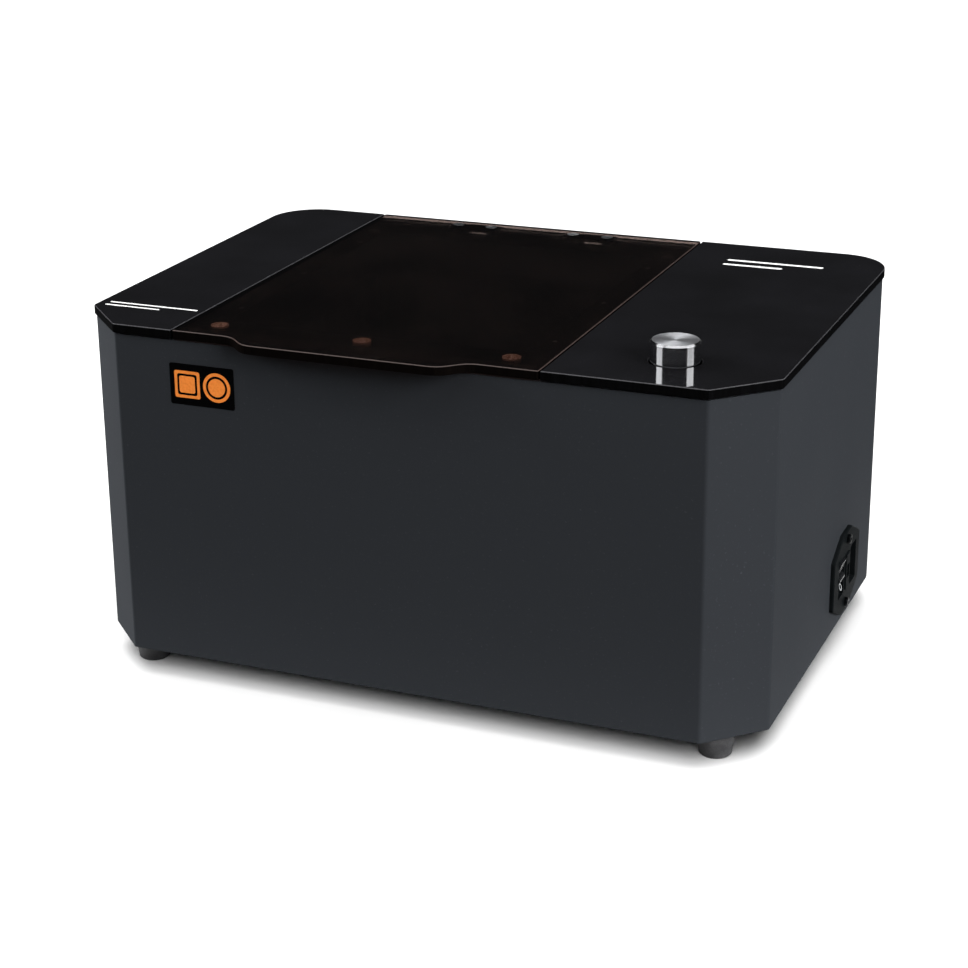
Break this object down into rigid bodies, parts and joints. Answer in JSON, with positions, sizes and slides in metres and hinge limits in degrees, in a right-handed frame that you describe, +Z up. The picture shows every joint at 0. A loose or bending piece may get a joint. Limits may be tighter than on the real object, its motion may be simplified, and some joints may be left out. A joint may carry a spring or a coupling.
{
  "type": "light curing unit",
  "caption": "Bench-top light curing unit: sheet-metal casing with cut front corners, tinted hinged lid over a lit chamber with turntable, metal push-turn knob, side mains inlet.",
  "frame": {"origin": "on the ground under the middle of the whole footprint, finger lip included", "axes": "+X to the right seen from the front, +Y to the back, +Z up"},
  "size_m": [0.4035, 0.296, 0.2224],
  "materials": {
    "powder_coat": "fine-textured charcoal powder coat",
    "inner_coat": "black powder coat",
    "plated_steel": "zinc plated",
    "black_acrylic": "cast acrylic, polished",
    "tinted_acrylic": "red-brown transparent acrylic, polished",
    "clear_acrylic": "clear acrylic",
    "tape": "foam tape",
    "rubber": "moulded rubber",
    "screw_steel": "stainless",
    "nickel": "nickel plated",
    "hinge_steel": "stainless, tumbled",
    "liner_coat": "matt black powder coat",
    "led_board": "black solder mask",
    "led_emitter": "moulded silicone dome",
    "aluminium": "extruded, clear anodised",
    "turned_aluminium": "turned, face brushed in circles",
    "motor_can": "drawn can",
    "fan_plastic": "moulded PBT",
    "board_green": "solder mask",
    "components": "moulded",
    "supply_case": "punched sheet",
    "inlet_plastic": "moulded nylon",
    "rocker_plastic": "moulded",
    "brass": "nickel-free, turned",
    "encoder_plastic": "moulded",
    "fuse_glass": "glass tube"
  },
  "bodies": {
    "root": {"casing_wrap": "powder_coat", "rear_panel": "powder_coat", "rear_panel_screws": "screw_steel", "base_plate": "inner_coat", "base_screws": "screw_steel", "feet": "rubber", "foot_screws": "screw_steel", "top_frame": "inner_coat", "frame_screws": "screw_steel", "left_top_panel": "black_acrylic", "right_top_panel": "black_acrylic", "panel_tape": "tape", "frame_magnets": "nickel", "lid_bumpers": "rubber", "hinge_bar": "plated_steel", "hinge_bar_screws": "screw_steel", "hinge_fixed_leaves": "hinge_steel", "hinge_pins": "screw_steel", "chamber_liner": "liner_coat", "liner_screws": "screw_steel", "led_boards": "led_board", "led_emitters": "led_emitter", "led_windows": "clear_acrylic", "window_pillars": "plated_steel", "heatsinks": "aluminium", "turntable_motor": "motor_can", "motor_screws": "screw_steel", "fan_frame": "fan_plastic", "fan_screws": "screw_steel", "encoder_body": "encoder_plastic", "encoder_nut": "brass", "inlet_body": "inlet_plastic", "inlet_screws": "screw_steel", "inlet_nuts": "screw_steel", "inlet_pins": "brass", "power_supply": "supply_case", "led_driver": "aluminium", "supply_screws": "screw_steel", "board_standoffs": "brass", "control_board": "board_green", "board_screws": "screw_steel", "board_components": "components", "lid_sensor": "encoder_plastic"},
    "lid": {"lid_panel": "tinted_acrylic", "lid_discs": "nickel", "hinge_lid_leaves": "hinge_steel", "lid_screws": "screw_steel", "lid_nuts": "screw_steel"},
    "turntable": {"turntable_disc": "black_acrylic", "turntable_hub": "aluminium", "motor_shaft": "screw_steel", "turntable_screw": "screw_steel"},
    "fan": {"fan_rotor": "fan_plastic"},
    "plunger": {"encoder_plunger": "encoder_plastic"},
    "knob": {"knob": "turned_aluminium", "encoder_stem": "aluminium", "knob_grub_screw": "screw_steel"},
    "rocker": {"rocker": "rocker_plastic"},
    "drawer": {"fuse_drawer": "inlet_plastic", "fuse": "fuse_glass"}
  },
  "joints": [
    {"name": "lid_hinge", "type": "hinge", "parent": "root", "child": "lid", "pos_m": [-0.02635, 0.1451, 0.20325], "axis": [-1, 0, 0], "range_deg": [0, 115]},
    {"name": "turntable_spin", "type": "hinge", "parent": "root", "child": "turntable", "pos_m": [-0.029, 0.008, 0.092], "axis": [0, 0, 1], "continuous": true},
    {"name": "fan_spin", "type": "hinge", "parent": "root", "child": "fan", "pos_m": [-0.029, 0.132, 0.11], "axis": [0, 1, 0], "continuous": true},
    {"name": "knob_press", "type": "slide", "parent": "root", "child": "plunger", "axis": [0, 0, -1], "range_m": [0, 0.001], "stiffness_N_per_m": 1500, "springref_m": -0.0025},
    {"name": "knob_turn", "type": "hinge", "parent": "plunger", "child": "knob", "pos_m": [0.1397, -0.0943, 0.21], "axis": [0, 0, 1], "continuous": true},
    {"name": "rocker_throw", "type": "hinge", "parent": "root", "child": "rocker", "pos_m": [0.2, 0.0391, 0.0469], "axis": [0, -1, 0], "range_deg": [0, 16]},
    {"name": "drawer_slide", "type": "slide", "parent": "root", "child": "drawer", "axis": [1, 0, 0], "range_m": [0, 0.018]}
  ]
}
